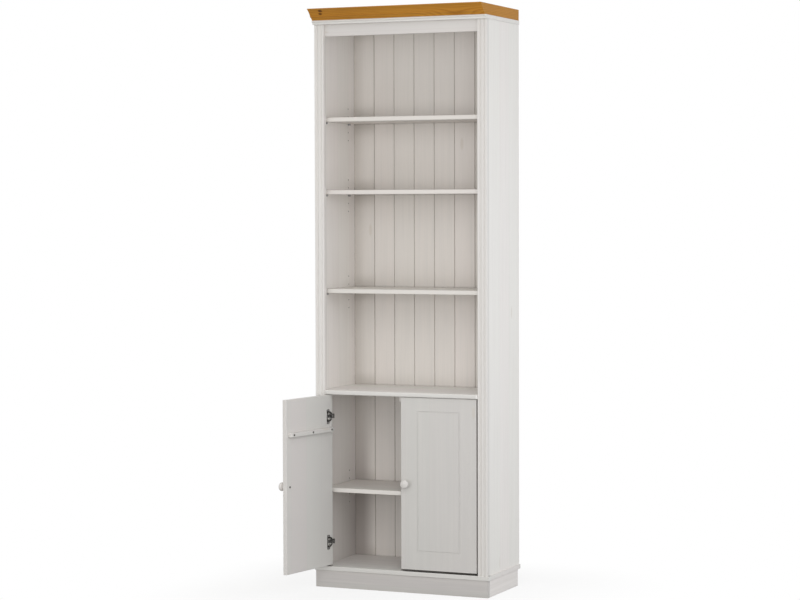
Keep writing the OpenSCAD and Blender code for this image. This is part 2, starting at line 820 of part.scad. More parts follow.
module door_panel() {
    difference() {
        translate([door_w / 2 - pivot_edge, 0, door_z + door_h / 2]) intersection() {
            translate([0, 0, -door_h / 2]) linear_extrude(door_h) round_plate(door_w, door_t, door_ease_r);
            rotate([90, 0, 90]) translate([0, 0, -door_w / 2])
                linear_extrude(door_w) round_plate(door_t, door_h, door_ease_r);
        }
        routed_line();
        for (z = hinge_levels) translate([0, 0, z]) {
            translate([cup_u, inner_v - cup_depth, 0]) backwards(cup_r, cup_depth + over);
            for (sz = [-1, 1])
                translate([cup_u + flange_shift, inner_v + flange_t - screw_len - hole_end,
                        sz * cup_screw_span / 2])
                    backwards(screw_r + fit_gap, screw_len + over);
        }
        for (u = batten_screws)
            translate([batten_u + u, inner_v + batten_t - batten_screw_len - hole_end, batten_z])
                backwards(screw_r + fit_gap, batten_screw_len);
        translate([free_u - knob_edge, -inner_v - over, knob_z])
            backwards(screw_r + fit_gap, door_t + 2 * over);
    }
}

module door_batten() {
    translate([batten_u, inner_v, batten_z]) difference() {
        translate([0, 0, -batten_h / 2]) linear_extrude(batten_h) difference() {
            square([batten_len, batten_t]);
            for (sx = [0, 1]) translate([sx * batten_len, batten_t]) mirror([sx, 0]) difference() {
                translate([-over, -batten_end_r]) square([batten_end_r + over, batten_end_r + over]);
                translate([batten_end_r, -batten_end_r]) circle(batten_end_r);
            }
        }
        for (u = batten_screws) translate([u, -over, 0]) backwards(screw_r + fit_gap, batten_t + 2 * over);
    }
}

module batten_screw_set() {
    for (u = batten_screws)
        translate([batten_u + u, inner_v + batten_t, batten_z]) rotate([90, 0, 0]) screw(batten_screw_len);
}

// A turned knob: foot, hollow neck, round rim and a low dome
module door_knob() {
    belly = knob_out * knob_belly_share;
    flat_top = belly + knob_rim_r;
    dome_half = knob_r - knob_rim_r;
    dome_r = (pow(dome_half, 2) + pow(knob_dome, 2)) / (2 * knob_dome);
    neck_gap = belly - knob_rim_r;
    translate([free_u - knob_edge, -inner_v, knob_z]) rotate([90, 0, 0]) difference() {
        rotate_extrude() {
            difference() {
                square([knob_foot_r, neck_gap + over]);
                translate([knob_neck_r + neck_gap / 2, neck_gap / 2]) circle(neck_gap / 2);
                translate([knob_neck_r + neck_gap / 2, 0]) square([knob_foot_r, neck_gap + over]);
            }
            translate([0, belly - knob_rim_r]) square([knob_r - knob_rim_r, 2 * knob_rim_r]);
            translate([knob_r - knob_rim_r, belly]) circle(knob_rim_r);
            intersection() {
                translate([0, flat_top + knob_dome - dome_r]) circle(dome_r);
                translate([0, flat_top - over]) square([dome_half, knob_dome + over]);
            }
        }
        translate([0, 0, -over])
            cylinder(r = screw_r + fit_gap, h = knob_screw_len - door_t + hole_end + over);
    }
}

module knob_screw() {
    translate([free_u - knob_edge, inner_v, knob_z]) rotate([90, 0, 0]) screw(knob_screw_len);
}

// Places what is drawn about the pivot at the left or the right door's axis
module at_pivot(side) {
    translate([side * pivot_x, pivot_y, 0]) mirror([side > 0 ? 1 : 0, 0, 0]) children();
}

// Places a door's pieces, the left door open and the right door shut
module hung(side) {
    at_pivot(side) rotate(side < 0 ? -left_open : 0) children();
}

module at_hinges() {
    for (z = hinge_levels) translate([0, 0, z]) children();
}

plinth_front();
plinth_side(-1);  // plinth_left
plinth_side(1);  // plinth_right
plinth_back();
plinth_blocks();
base_board();
side_panel(-1);  // side_left
side_panel(1);  // side_right
stile(-1);  // stile_left
stile(1);  // stile_right
top_board();
top_rail();
crown_moulding();
crown_front();
crown_side(-1);  // crown_left
crown_side(1);  // crown_right
crown_back();
fixed_shelf();
loose_shelf(upper_shelf_z);  // upper_shelf
loose_shelf(middle_shelf_z);  // middle_shelf
loose_shelf(lower_shelf_z);  // lower_shelf
loose_shelf(cupboard_shelf_z);  // cupboard_shelf
shelf_pins(upper_shelf_z);  // upper_shelf_pins
shelf_pins(middle_shelf_z);  // middle_shelf_pins
shelf_pins(lower_shelf_z);  // lower_shelf_pins
shelf_pins(cupboard_shelf_z);  // cupboard_shelf_pins
back_board(1);  // back_board_1
back_board(2);  // back_board_2
back_board(3);  // back_board_3
back_board(4);  // back_board_4
back_board(5);  // back_board_5
back_board(6);  // back_board_6
back_board(7);  // back_board_7
back_board(8);  // back_board_8
back_nails();
carcass_dowels();
door_stop();
color(dark_steel) at_pivot(-1) at_hinges() hinge_plate();  // left_hinge_plates
color(dark_steel) at_pivot(-1) at_hinges() hinge_arm();  // left_hinge_arms
color(dark_steel) at_pivot(1) at_hinges() hinge_plate();  // right_hinge_plates
color(dark_steel) at_pivot(1) at_hinges() hinge_arm();  // right_hinge_arms
color(steel) for (side = [-1, 1]) at_pivot(side) at_hinges() plate_screws();  // hinge_plate_screws
color(paint) hung(-1) door_panel();  // left_door_panel
color(paint) hung(-1) door_batten();  // left_door_batten
color(steel) hung(-1) batten_screw_set();  // left_batten_screws
color(paint) hung(-1) door_knob();  // left_door_knob
color(steel) hung(-1) knob_screw();  // left_knob_screw
color(dark_steel) hung(-1) at_hinges() hinge_cup();  // left_hinge_cups
color(steel) hung(-1) at_hinges() pivot_pin();  // left_hinge_pins
color(steel) hung(-1) at_hinges() cup_screws();  // left_cup_screws
color(paint) hung(1) door_panel();  // right_door_panel
color(paint) hung(1) door_batten();  // right_door_batten
color(steel) hung(1) batten_screw_set();  // right_batten_screws
color(paint) hung(1) door_knob();  // right_door_knob
color(steel) hung(1) knob_screw();  // right_knob_screw
color(dark_steel) hung(1) at_hinges() hinge_cup();  // right_hinge_cups
color(steel) hung(1) at_hinges() pivot_pin();  // right_hinge_pins
color(steel) hung(1) at_hinges() cup_screws();  // right_cup_screws
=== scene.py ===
import json
import math

import bpy
from mathutils import Euler, Matrix, Vector


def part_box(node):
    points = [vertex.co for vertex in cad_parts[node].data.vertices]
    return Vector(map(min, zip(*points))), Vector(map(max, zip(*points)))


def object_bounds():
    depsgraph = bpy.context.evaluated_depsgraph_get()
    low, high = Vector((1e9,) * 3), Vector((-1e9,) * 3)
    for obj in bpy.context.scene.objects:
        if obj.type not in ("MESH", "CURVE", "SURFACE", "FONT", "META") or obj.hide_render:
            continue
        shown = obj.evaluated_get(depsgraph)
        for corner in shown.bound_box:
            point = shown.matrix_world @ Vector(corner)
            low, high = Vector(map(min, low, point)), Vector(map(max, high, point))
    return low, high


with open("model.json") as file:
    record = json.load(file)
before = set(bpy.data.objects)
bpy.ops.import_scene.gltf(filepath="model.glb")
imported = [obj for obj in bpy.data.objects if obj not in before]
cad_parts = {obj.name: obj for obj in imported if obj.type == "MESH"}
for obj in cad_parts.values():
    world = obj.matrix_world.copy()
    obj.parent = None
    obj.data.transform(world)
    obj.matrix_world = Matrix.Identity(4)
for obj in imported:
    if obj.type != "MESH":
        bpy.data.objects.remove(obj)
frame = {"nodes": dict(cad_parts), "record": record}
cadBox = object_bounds()
nodes = frame["nodes"]
slotOf = {part["node"]: part["material_slot"] for part in frame["record"]["subparts"]}
bookcaseHeight = cadBox[1][2]
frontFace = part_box("stile_left")[0].y
print("frame loaded:", len(nodes), "nodes, height", round(bookcaseHeight, 3))


# Small helpers for node trees

def feed(tree, socket, value):
    # The value is another node's output, a number or a triple
    if isinstance(value, bpy.types.NodeSocket):
        tree.links.new(value, socket)
    elif socket.type == "RGBA":
        socket.default_value = (*value, 1.0)
    else:
        socket.default_value = value


def addNode(tree, kind, **values):
    # Names in small letters are the node's settings, the others are its sockets
    node = tree.nodes.new(kind)
    for key, value in values.items():
        if key[0].islower():
            setattr(node, key, value)
        else:
            feed(tree, node.inputs[key], value)
    return node


def mathNode(tree, operation, a, b=0.0, clamp=False):
    node = addNode(tree, "ShaderNodeMath", operation=operation, use_clamp=clamp)
    feed(tree, node.inputs[0], a)
    feed(tree, node.inputs[1], b)
    return node.outputs[0]


def times(tree, first, *others):
    for other in others:
        first = mathNode(tree, "MULTIPLY", first, other)
    return first


def between(tree, value, low, high):
    above = mathNode(tree, "GREATER_THAN", value, low)
    return times(tree, above, mathNode(tree, "LESS_THAN", value, high))


def vectorNode(tree, operation, a, b):
    node = addNode(tree, "ShaderNodeVectorMath", operation=operation)
    feed(tree, node.inputs[0], a)
    feed(tree, node.inputs["Scale" if operation == "SCALE" else 1], b)
    return node.outputs["Value" if operation in ("DOT_PRODUCT", "DISTANCE") else "Vector"]


def splitVector(tree, vector):
    return addNode(tree, "ShaderNodeSeparateXYZ", Vector=vector).outputs


def stretched(tree, vector, scale):
    return addNode(tree, "ShaderNodeMapping", Vector=vector, Scale=scale).outputs[0]


def pieceSpace(tree):
    # Places and normals as they are while the piece is at rest
    return addNode(tree, "ShaderNodeTexCoord").outputs


def remap(tree, value, low, high, outLow=0.0, outHigh=1.0, smooth=False):
    node = addNode(tree, "ShaderNodeMapRange", clamp=True, Value=value)
    if smooth:
        node.interpolation_type = "SMOOTHSTEP"
    for label, number in (("From Min", low), ("From Max", high), ("To Min", outLow), ("To Max", outHigh)):
        feed(tree, node.inputs[label], number)
    return node.outputs["Result"]


def mixColor(tree, factor, a, b, blend="MIX"):
    node = addNode(tree, "ShaderNodeMix", data_type="RGBA", blend_type=blend)
    for index, value in ((0, factor), (6, a), (7, b)):
        feed(tree, node.inputs[index], value)
    return node.outputs[2]


def newGroup(name, inputs, outputs):
    # An input's default says its kind, a number or a triple; only a normal comes out as a vector
    group = bpy.data.node_groups.new(name, "ShaderNodeTree")
    for label, value in inputs.items():
        kind = "NodeSocketFloat" if isinstance(value, float) else "NodeSocketVector"
        group.interface.new_socket(name=label, in_out="INPUT", socket_type=kind).default_value = value
    for label in outputs:
        kind = "NodeSocketVector" if label == "Normal" else "NodeSocketFloat"
        group.interface.new_socket(name=label, in_out="OUTPUT", socket_type=kind)
    return group, group.nodes.new("NodeGroupInput").outputs, group.nodes.new("NodeGroupOutput").inputs


def putOut(group, out, **values):
    for label, value in values.items():
        feed(group, out[label], value)
    return group


def useGroup(tree, group, **values):
    node = addNode(tree, "ShaderNodeGroup", node_tree=group)
    for key, value in values.items():
        label = "".join(" " + letter if letter.isupper() else letter for letter in key).title()
        feed(tree, node.inputs[label], value)
    return node.outputs


# Shared effects

grainLook = {
    "jointFrom": 0.492,            # where a glue line starts, in stave widths from the stave's middle
    "staveShift": 7.0,             # staves come from places up to so many metres apart in the wood
    "knotCells": (2.6, 9.0, 0.0),  # places for a knot in each metre, along and across
    "knotScatter": 0.8,
    "knotCore": (0.035, 0.075),
    "knotSwirl": (0.02, 0.42),
    "knotPush": 0.022,             # how far the rings bend away beside a knot
    "ringStretch": (0.12, 1.0, 1.0),
    "wanderScale": 5.0,
    "wanderSize": 0.055,
    "lateWood": 2.2,
    "ringEnd": 0.9,
    "fibreStretch": (0.025, 1.0, 1.0),
    "fibreScale": 700.0,
    "streakStretch": (0.035, 1.0, 1.0),
    "streakScale": 62.0,
}


def makeWoodGrain():
    # X runs along the grain, Y across the face of the board, Z through it
    look = grainLook
    group, given, out = newGroup(
        "woodGrain",
        {"Vector": (0.0, 0.0, 0.0), "Ring Width": 0.006, "Stave Width": 0.09, "Knots": 0.5, "Seed": 0.0},
        ["Rings", "Fibre", "Streak", "Knots", "Stave", "Joint"])
    staves = mathNode(group, "DIVIDE", splitVector(group, given["Vector"])["Y"], given["Stave Width"])
    inStave = mathNode(group, "FRACT", staves)
    offMiddle = mathNode(group, "ABSOLUTE", mathNode(group, "SUBTRACT", inStave, 0.5))
    joint = remap(group, offMiddle, look["jointFrom"], 0.5)
    stave = addNode(group, "ShaderNodeCombineXYZ", X=mathNode(group, "FLOOR", staves), Y=given["Seed"])
    chance = addNode(group, "ShaderNodeTexWhiteNoise", noise_dimensions="2D", Vector=stave.outputs[0])
    shift = vectorNode(group, "SCALE", chance.outputs["Color"], look["staveShift"])
    moved = vectorNode(group, "ADD", given["Vector"], shift)

    # Knots sit in a few of the cells of a coarse pattern
    cells = addNode(group, "ShaderNodeTexVoronoi", voronoi_dimensions="2D", feature="F1", Scale=1.0,
                    Randomness=look["knotScatter"], Vector=stretched(group, moved, look["knotCells"]))
    cellColor = addNode(group, "ShaderNodeSeparateColor", Color=cells.outputs["Color"])
    chosen = mathNode(group, "LESS_THAN", cellColor.outputs["Red"], given["Knots"])
    toKnot = cells.outputs["Distance"]
    knots = times(group, remap(group, toKnot, *look["knotCore"], 1.0, 0.0, smooth=True), chosen)
    swirl = remap(group, toKnot, *look["knotSwirl"], look["knotPush"], 0.0, smooth=True)

    # Yearly rings round a wandering pith, stretched along the board
    along = stretched(group, moved, look["ringStretch"])
    wander = addNode(group, "ShaderNodeTexNoise", Vector=along, Scale=look["wanderScale"],
                     Detail=2.0, Roughness=0.45)
    bend = vectorNode(group, "SCALE", wander.outputs["Color"], look["wanderSize"])
    bent = splitVector(group, vectorNode(group, "ADD", along, bend))
    across = mathNode(group, "ADD", bent["Y"], times(group, swirl, chosen))
    squares = mathNode(group, "ADD", times(group, across, across), times(group, bent["Z"], bent["Z"]))
    radius = mathNode(group, "SQRT", squares)
    ringPhase = mathNode(group, "FRACT", mathNode(group, "DIVIDE", radius, given["Ring Width"]))
    ringEnd = remap(group, ringPhase, look["ringEnd"], 1.0, 1.0, 0.0)
    rings = times(group, mathNode(group, "POWER", ringPhase, look["lateWood"]), ringEnd)

    # Fine fibre, much longer than wide
    fibre = addNode(group, "ShaderNodeTexNoise", Vector=stretched(group, moved, look["fibreStretch"]),
                    Scale=look["fibreScale"], Detail=3.0, Roughness=0.6)

    # Soft streaks a finger wide, where the glaze was wiped along the board
    streak = addNode(group, "ShaderNodeTexNoise", Vector=stretched(group, moved, look["streakStretch"]),
                     Scale=look["streakScale"], Detail=3.0, Roughness=0.62)
    return putOut(group, out, Rings=rings, Fibre=fibre.outputs["Fac"], Streak=streak.outputs["Fac"],
                  Knots=knots, Stave=chance.outputs["Value"], Joint=joint)


wearLook = {
    "edgeTurn": (0.78, 0.99),  # cosine of the turn at an edge: fully worn, and not worn
    "patchScale": 38.0,
    "keptFrom": 0.3,
    "keptBreakUp": 0.35,
    "keptSpan": 0.22,
}


def makeEdgeWear():
    # A mask of worn edges, broken up so that no line is even
    look = wearLook
    group, given, out = newGroup("edgeWear", {"Width": 0.0015, "Break Up": 0.5}, ["Edge", "Normal"])
    bevel = addNode(group, "ShaderNodeBevel", samples=4, Radius=given["Width"]).outputs[0]
    flat = addNode(group, "ShaderNodeNewGeometry").outputs["True Normal"]
    edge = remap(group, vectorNode(group, "DOT_PRODUCT", bevel, flat), *look["edgeTurn"], 1.0, 0.0)
    patches = addNode(group, "ShaderNodeTexNoise", Vector=pieceSpace(group)["Object"],
                      Scale=look["patchScale"], Detail=5.0, Roughness=0.65)
    low = mathNode(group, "ADD", times(group, given["Break Up"], look["keptBreakUp"]), look["keptFrom"])
    high = mathNode(group, "ADD", low, look["keptSpan"])
    kept = remap(group, patches.outputs["Fac"], low, high)
    return putOut(group, out, Edge=times(group, edge, kept), Normal=bevel)


handlingAndShadeLook = {
    "speckScale": 260.0,
    "speckRange": (0.4, 0.62),
    "cornerRange": (0.35, 0.85),  # how open a place is: full painted shade, and none
    "gapRange": (0.16, 0.46),
    "deepRange": (0.45, 1.0),
    "deepReach": 0.055,
}


def makeHandlingAndShade():
    # Slow changes of tone and fine specks, and painted shade where surfaces meet, in gaps and in deep places
    look = handlingAndShadeLook
    group, given, out = newGroup(
        "handlingAndShade", {"Cloud Size": 2.2, "Corner Reach": 0.02}, ["Cloud", "Speck", "Corner", "Gap", "Deep"])
    place = pieceSpace(group)["Object"]
    cloud = addNode(group, "ShaderNodeTexNoise", Vector=place, Scale=given["Cloud Size"],
                    Detail=3.0, Roughness=0.5)
    speck = addNode(group, "ShaderNodeTexNoise", Vector=place, Scale=look["speckScale"], Detail=2.0)
    near, far = (addNode(group, "ShaderNodeAmbientOcclusion", samples=4, Distance=reach).outputs["AO"]
                 for reach in (given["Corner Reach"], look["deepReach"]))
    return putOut(group, out, Cloud=cloud.outputs["Fac"],
                  Speck=remap(group, speck.outputs["Fac"], *look["speckRange"]),
                  Corner=remap(group, near, *look["cornerRange"], 1.0, 0.0),
                  Gap=remap(group, near, *look["gapRange"], 1.0, 0.0),
                  Deep=remap(group, far, *look["deepRange"], 1.0, 0.0))


def makeShadedCorner():
    # Paints shade on one face of a piece towards a low rear corner: Clear and Full are places along the axis
    group, given, out = newGroup(
        "shadedCorner",
        {"Axis": (1.0, 0.0, 0.0), "Faces": (0.0, -1.0, 0.0), "Clear": 0.0, "Full": 1.0,
         "Full Height": 0.0, "Clear Height": 1.0, "Strength": 0.5},
        ["Shade"])
    space = pieceSpace(group)
    upward = splitVector(group, space["Object"])["Z"]
    low = remap(group, upward, given["Full Height"], given["Clear Height"], 1.0, 0.0)
    along = vectorNode(group, "DOT_PRODUCT", space["Object"], given["Axis"])
    near = remap(group, along, given["Clear"], given["Full"])
    facing = vectorNode(group, "DOT_PRODUCT", space["Normal"], given["Faces"])
    shade = times(group, low, near, mathNode(group, "GREATER_THAN", facing, 0.5), given["Strength"])
    return putOut(group, out, Shade=shade)


def makeFrontFaces():
    # 1 on faces that look forward
    group, given, out = newGroup("frontFaces", {"From": -0.9, "To": -0.6}, ["Front"])
    forward = splitVector(group, pieceSpace(group)["Normal"])["Y"]
    return putOut(group, out, Front=remap(group, forward, given["From"], given["To"], 1.0, 0.0))


def makeInsidePanel():
    # 1 on what was cut into an upright panel, between two of its corners
    group, given, out = newGroup(
        "insidePanel", {"Low": (0.0, 0.0, 0.0), "High": (1.0, 1.0, 1.0)}, ["Inside"])
    place = splitVector(group, pieceSpace(group)["Object"])
    low = splitVector(group, given["Low"])
    high = splitVector(group, given["High"])
    inside = [between(group, place[axis], low[axis], high[axis]) for axis in "XY"]
    return putOut(group, out, Inside=times(group, *inside))


woodGrain = makeWoodGrain()
edgeWear = makeEdgeWear()
handlingAndShade = makeHandlingAndShade()
shadedCorner = makeShadedCorner()
frontFaces = makeFrontFaces()
insidePanel = makeInsidePanel()
print("shared effects made")


# Materials

# Which way the grain runs in a piece, and which way its face is wide
boardPlans = {
    "up": ("Z", "X"),
    "upSide": ("Z", "Y"),
    "across": ("X", "Z"),
    "acrossFlat": ("X", "Y"),
    "deep": ("Y", "Z"),
}


def newMaterial(name):
    material = bpy.data.materials.new(name)
    material.use_nodes = True
    tree = material.node_tree
    tree.nodes.clear()
    shader = tree.nodes.new("ShaderNodeBsdfPrincipled")
    output = tree.nodes.new("ShaderNodeOutputMaterial")
    tree.links.new(shader.outputs[0], output.inputs[0])
    return material, tree, shader


def woodEffects(tree, look, seed):
    # Each piece is cut from its own place in the wood, with X along the grain and Y across the face
    grain, face = boardPlans[look["plan"]]
    through = next(axis for axis in "XYZ" if axis not in (grain, face))
    place = splitVector(tree, pieceSpace(tree)["Object"])
    turned = addNode(tree, "ShaderNodeCombineXYZ", X=place[grain], Y=place[face], Z=place[through])
    cutFrom = tuple(start + seed * step for start, step in zip(look["cutFrom"], look["cutStep"]))
    space = addNode(tree, "ShaderNodeMapping", Vector=turned.outputs[0], Location=cutFrom).outputs[0]
    return (useGroup(tree, woodGrain, vector=space, ringWidth=look["ringWidth"], staveWidth=look["stave"],
                     knots=look["knots"], seed=float(seed)),
            useGroup(tree, edgeWear, width=look["wearWidth"], breakUp=look["breakUp"]),
            useGroup(tree, handlingAndShade, cloudSize=look["cloudSize"], cornerReach=look["cornerReach"]))


def woodSurface(tree, shader, look, grain, wear):
    rough = remap(tree, grain["Fibre"], *look["roughRange"], *look["rough"])
    rough = mathNode(tree, "ADD", rough, times(tree, wear["Edge"], look["wornRough"]))
    height = times(tree, grain["Rings"], look["ringHeight"])
    for label, share in (("Fibre", look["fibreHeight"]), ("Joint", look["jointHeight"])):
        height = mathNode(tree, "ADD", height, times(tree, grain[label], share))
    bump = addNode(tree, "ShaderNodeBump", Strength=look["bump"], Distance=look["bumpDepth"], Height=height,
                   Normal=wear["Normal"])
    feed(tree, shader.inputs["Roughness"], rough)
    feed(tree, shader.inputs["Normal"], bump.outputs[0])
    shader.inputs["Specular IOR Level"].default_value = look["specular"]
    shader.inputs["Coat Weight"].default_value = look["coat"]
    shader.inputs["Coat Roughness"].default_value = look["coatRough"]


glazeLook = {
    "paint": (0.80, 0.785, 0.770),
    "share": 1.0,             # painted light and shade: how much lighter or darker a piece is drawn than the rest
    "rosyTint": (1.0, 0.972, 0.965),
    "greenTint": (0.972, 0.982, 0.955),
    "cloudRange": (0.35, 0.7),
    "cloudStrength": 0.6,
    "cloudShare": 0.95,
    "streakRange": (0.42, 0.68),
    "streakStrength": 0.34,
    "streakTint": (0.68, 0.655, 0.625),
    "ringStrength": 0.15,
    "fibreRange": (0.5, 0.75),
    "fibreStrength": 0.10,
    "ringTint": (0.66, 0.62, 0.575),
    "knotStrength": 0.30,
    "knotTint": (0.56, 0.50, 0.41),
    "jointStrength": 0.22,
    "wornStrength": 0.28,
    "wornTint": (0.74, 0.69, 0.60),
    "cornerStrength": 0.16,
    # dark of the glue lines, and of the painted shade in corners and deep places
    "dirtAndShadeTint": (0.42, 0.385, 0.345),
    "duskTint": (0.30, 0.265, 0.25),
    # near black of painted shadow, in gaps, bores, under the shut door and along its foot
    "paintedShadowTint": (0.020, 0.018, 0.015),
    "underDoorReach": 0.006,  # how far behind the shut door the board under it is painted dark, as the door's shadow
    "coveredRange": (0.25, 0.6),
    "footHeight": 0.0030,     # height of the painted shadow along the foot of the shut door
    "boreSkin": 0.0003,       # how deep under a side panel's face a bore is painted dark, as the shade in the hole
    "boreMargin": 0.030,      # how far the bores stay from a side panel's front and rear edges
    "plan": "up",
    "cutFrom": (0.0, 0.0, 0.045),      # where in the wood the first piece is cut
    "cutStep": (0.731, 0.137, 0.003),  # how far on the next one is
    "stave": 0.096,
    "ringWidth": 0.0065,
    "knots": 0.16,
    "wearWidth": 0.0014,
    "breakUp": 0.62,
    "cloudSize": 1.7,
    "cornerReach": 0.018,
    "roughRange": (0.3, 0.7),
    "rough": (0.44, 0.60),
    "wornRough": 0.12,
    "ringHeight": 0.5,
    "fibreHeight": 0.7,
    "jointHeight": -0.8,      # a glue line is a fine groove
    "bump": 0.16,
    "bumpDepth": 0.0006,
    "specular": 0.40,
    "coat": 0.06,
    "coatRough": 0.35,
}

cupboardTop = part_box("fixed_shelf")[0].z
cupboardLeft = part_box("side_left")[1].x
# Painted shade in the low rear corner of the cupboard, on the back boards and on the inner face of the left
# side
cupboardShadeAreas = {
    "backs": {"axis": (1.0, 0.0, 0.0), "faces": (0.0, -1.0, 0.0), "strength": 0.66,
              "clear": cupboardLeft + 0.080, "full": cupboardLeft + 0.035,
              "clearHeight": cupboardTop - 0.04, "fullHeight": cupboardTop - 0.36},
    "side": {"axis": (0.0, 1.0, 0.0), "faces": (1.0, 0.0, 0.0), "strength": 0.62,
             "clear": frontFace + 0.05, "full": cadBox[1][1],
             "clearHeight": cupboardTop - 0.12, "fullHeight": cupboardTop - 0.55},
}


def tinted(color, tint):
    # The tint is a number or a triple
    shares = tint if isinstance(tint, tuple) else (tint,) * 3
    return tuple(channel * share for channel, share in zip(color, shares))


def layOver(tree, color, layers):
    # A layer is a mask, a colour, and how it blends where that isn't plain
    for mask, tint, *blend in layers:
        color = mixColor(tree, mask, color, tint, *blend)
    return color


def coveredStrip(tree, look, hand):
    # 1 on the strip of board that a shut door covers, where the door's shadow is painted
    low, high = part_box("right_door_panel")
    forward = splitVector(tree, pieceSpace(tree)["Object"])["Y"]
    covered = remap(tree, hand["Corner"], *look["coveredRange"])
    return times(tree, between(tree, forward, low.y, high.y + look["underDoorReach"]), covered)


def footStrip(tree, look, name):
    # 1 along the foot of a piece
    upward = splitVector(tree, pieceSpace(tree)["Object"])["Z"]
    return mathNode(tree, "LESS_THAN", upward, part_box(name)[0].z + look["footHeight"])


def boreMask(tree, look, name):
    # 1 inside the bores of a side panel, painted dark as the shade in the holes
    low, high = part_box(name)
    inset = Vector((look["boreSkin"], look["boreMargin"], 0))
    return useGroup(tree, insidePanel, low=tuple(low + inset), high=tuple(high - inset))["Inside"]


def glazedPine(name, look, seed):
    material, tree, shader = newMaterial("glaze_" + name)
    grain, wear, hand = woodEffects(tree, look, seed)
    base = tinted(look["paint"], look["share"])
    color = mixColor(tree, grain["Stave"], tinted(base, look["rosyTint"]), tinted(base, look["greenTint"]))
    clouds = remap(tree, hand["Cloud"], *look["cloudRange"], 0.0, look["cloudStrength"])
    streaks = remap(tree, grain["Streak"], *look["streakRange"], 0.0, look["streakStrength"])
    fibres = remap(tree, grain["Fibre"], *look["fibreRange"], 0.0, look["fibreStrength"])
    layers = [
        (clouds, tinted(base, look["cloudShare"])),
        (streaks, look["streakTint"]),
        (times(tree, grain["Rings"], look["ringStrength"]), look["ringTint"]),
        (fibres, look["ringTint"]),
        (times(tree, grain["Knots"], look["knotStrength"]), look["knotTint"]),
        (times(tree, grain["Joint"], look["jointStrength"]), look["dirtAndShadeTint"]),
        (times(tree, wear["Edge"], look["wornStrength"]), look["wornTint"]),
        # painted shade, darker where surfaces meet
        (times(tree, hand["Corner"], look["cornerStrength"]), look["dirtAndShadeTint"]),
    ]
    # The rest only some pieces have
    # painted shade deep in the corners of the back boards
    if "deepShadeStrength" in look:
        layers.append((times(tree, hand["Deep"], look["deepShadeStrength"]), look["dirtAndShadeTint"]))
    # painted shade in the low rear corner of the cupboard
    if "dusk" in look:
        layers.append((useGroup(tree, shadedCorner, **cupboardShadeAreas[look["dusk"]])["Shade"], look["duskTint"]))
    # painted shade: faces that look forward are drawn darker
    if "frontFaceShade" in look:
        layers.append((useGroup(tree, frontFaces)["Front"], (look["frontFaceShade"],) * 3, "MULTIPLY"))
    # painted shadow, near black in the narrow gaps between parts
    if "gapStrength" in look:
        layers.append((times(tree, hand["Gap"], look["gapStrength"]), look["paintedShadowTint"]))
    # painted shadow of the shut door on the board under it
    if look.get("underDoor"):
        layers.append((coveredStrip(tree, look, hand), look["paintedShadowTint"]))
    # painted shade inside the bores of the side panels
    if look.get("drilled"):
        layers.append((boreMask(tree, look, name), look["paintedShadowTint"]))
    # painted shadow along the foot of the shut door
    if look.get("paintedFootShadow"):
        layers.append((footStrip(tree, look, name), look["paintedShadowTint"]))
    feed(tree, shader.inputs["Base Color"], layOver(tree, color, layers))
    woodSurface(tree, shader, look, grain, wear)
    return material


pineLook = {
    "early": (0.555, 0.262, 0.040),
    "late": (0.300, 0.110, 0.014),
    "knot": (0.085, 0.030, 0.010),
    "worn": (0.60, 0.36, 0.14),
    "ringStrength": 0.72,
    "fibreRange": (0.45, 0.8),
    "fibreStrength": 0.35,
    "cloudRange": (0.35, 0.7),
    "cloudStrength": 0.3,
    "wornStrength": 0.35,
    "cornerStrength": 0.35,
    "darkKnots": (),
    "darkKnotStrength": 0.85,
    "darkKnotCore": 0.55,             # share of a knot that is fully dark
    "darkKnotAxes": (0.5, 0.0, 1.0),  # twice as long as high, and right through the board
    "plan": "up",
    "cutFrom": (0.0, 0.0, 0.06),
    "cutStep": (0.613, 0.171, 0.004),
    "stave": 0.4,
    "ringWidth": 0.0055,
    "knots": 0.12,
    "wearWidth": 0.0014,
    "breakUp": 0.45,
    "cloudSize": 3.0,
    "cornerReach": 0.012,
    "roughRange": (0.3, 0.7),
    "rough": (0.34, 0.5),
    "wornRough": 0.0,
    "ringHeight": 0.6,
    "fibreHeight": 0.8,
    "jointHeight": 0.0,
    "bump": 0.22,
    "bumpDepth": 0.0006,
    "specular": 0.05,
    "coat": 0.01,
    "coatRough": 0.28,
}
# Wood without a finish: dowels and corner blocks
rawLook = {"early": (0.62, 0.44, 0.25), "late": (0.44, 0.27, 0.12), "rough": (0.6, 0.8), "coat": 0.0}

# Dark knots of the crown: distance from its left end, distance under its top, and half its height
crownKnots = (
    {"right": 0.0480, "down": 0.0095, "size": 0.0052},
    {"right": 0.0440, "down": 0.0192, "size": 0.0046},
)


def darkKnot(tree, look, knot):
    axes = look["darkKnotAxes"]
    flat = vectorNode(tree, "MULTIPLY", pieceSpace(tree)["Object"], axes)
    middle = ((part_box("crown_moulding")[0].x + knot["right"]) * axes[0], 0.0, bookcaseHeight - knot["down"])
    away = vectorNode(tree, "DISTANCE", flat, middle)
    core = remap(tree, away, knot["size"] * look["darkKnotCore"], knot["size"], 1.0, 0.0, smooth=True)
    return times(tree, core, look["darkKnotStrength"])


def honeyPine(name, look, seed):
    material, tree, shader = newMaterial(name)
    grain, wear, hand = woodEffects(tree, look, seed)
    color = layOver(tree, look["early"], [
        (times(tree, grain["Rings"], look["ringStrength"]), look["late"]),
        (remap(tree, grain["Fibre"], *look["fibreRange"], 0.0, look["fibreStrength"]), look["late"]),
        (remap(tree, hand["Cloud"], *look["cloudRange"], 0.0, look["cloudStrength"]), look["late"]),
        (grain["Knots"], look["knot"]),
        *((darkKnot(tree, look, knot), look["knot"]) for knot in look["darkKnots"]),
        (times(tree, wear["Edge"], look["wornStrength"]), look["worn"]),
        # painted shade, darker where surfaces meet
        (times(tree, hand["Corner"], look["cornerStrength"]), look["knot"]),
    ])
    feed(tree, shader.inputs["Base Color"], color)
    woodSurface(tree, shader, look, grain, wear)
    return material
